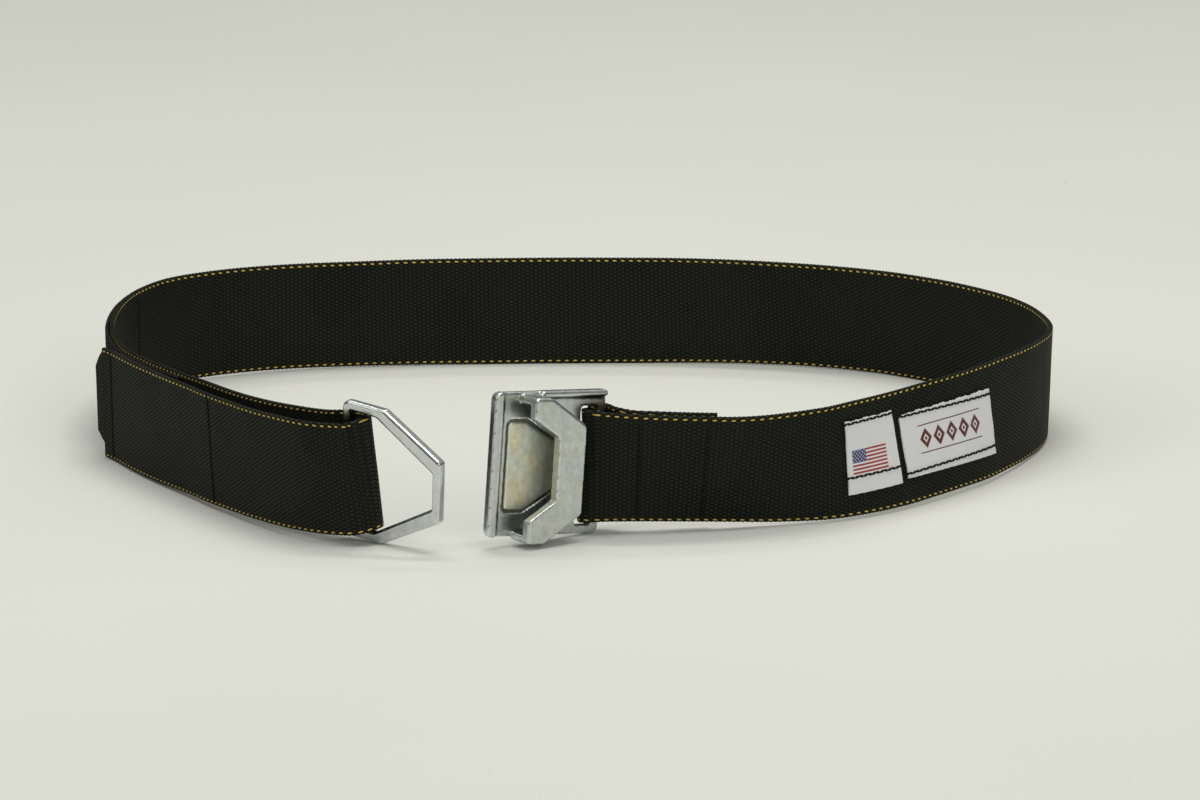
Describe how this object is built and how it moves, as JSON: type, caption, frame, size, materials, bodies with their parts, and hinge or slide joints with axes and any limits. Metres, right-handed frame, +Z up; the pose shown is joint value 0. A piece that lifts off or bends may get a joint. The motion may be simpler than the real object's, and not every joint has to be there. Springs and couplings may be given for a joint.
{
  "type": "firefighter belt",
  "caption": "Wide webbing belt standing as an open loop, with a plated hexagonal ring at one end and a plated hook plate at the other.",
  "frame": {"origin": "on the floor under the middle of the belt's box", "axes": "+X to the right along the belt's width, +Y towards the back of the loop, +Z up"},
  "size_m": [0.4239, 0.4084, 0.0673],
  "materials": {
    "webbing": "coarse black nylon webbing with yellow tracer yarns near both edges",
    "fuzzy_tape": "matte black hook and loop tape",
    "plated_metal": "bluish zinc plating, satin with brighter rolled edges",
    "plated_latch": "mottled, faintly yellow zinc plating",
    "label_satin": "white woven satin"
  },
  "bodies": {
    "root": {"strap": "webbing", "loop_tape": "fuzzy_tape", "hook_tape": "fuzzy_tape", "label_small": "label_satin", "label_large": "label_satin", "hex_ring": "plated_metal", "buckle_plate": "plated_metal", "latch_plate": "plated_latch"}
  },
  "joints": []
}
